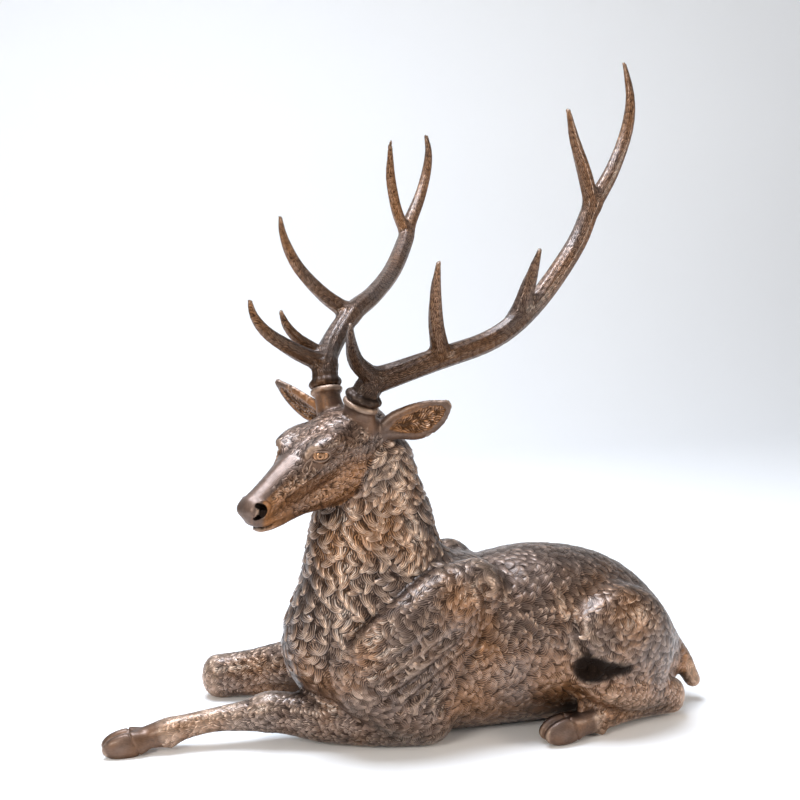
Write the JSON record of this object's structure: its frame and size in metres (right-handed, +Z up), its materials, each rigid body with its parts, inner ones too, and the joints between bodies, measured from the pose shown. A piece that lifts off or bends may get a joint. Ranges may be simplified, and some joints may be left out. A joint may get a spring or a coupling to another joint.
{
  "type": "bronze deer sculpture",
  "caption": "Life-size resting stag cast in bronze, head turned to its left, one foreleg stretched forward, with branching antlers and a carved coat.",
  "frame": {"origin": "middle of the bounding box, on the ground", "axes": "+Z up; the stag lies along X and its chest faces -X; its left flank faces -Y and its head is turned towards -Y"},
  "size_m": [1.5164, 0.899, 1.633],
  "materials": {
    "bronze": "brown patinated cast bronze, darker in the grooves and rubbed brighter on the ridges"
  },
  "bodies": {
    "root": {"body": "bronze", "antler_left": "bronze", "antler_right": "bronze"}
  },
  "joints": []
}
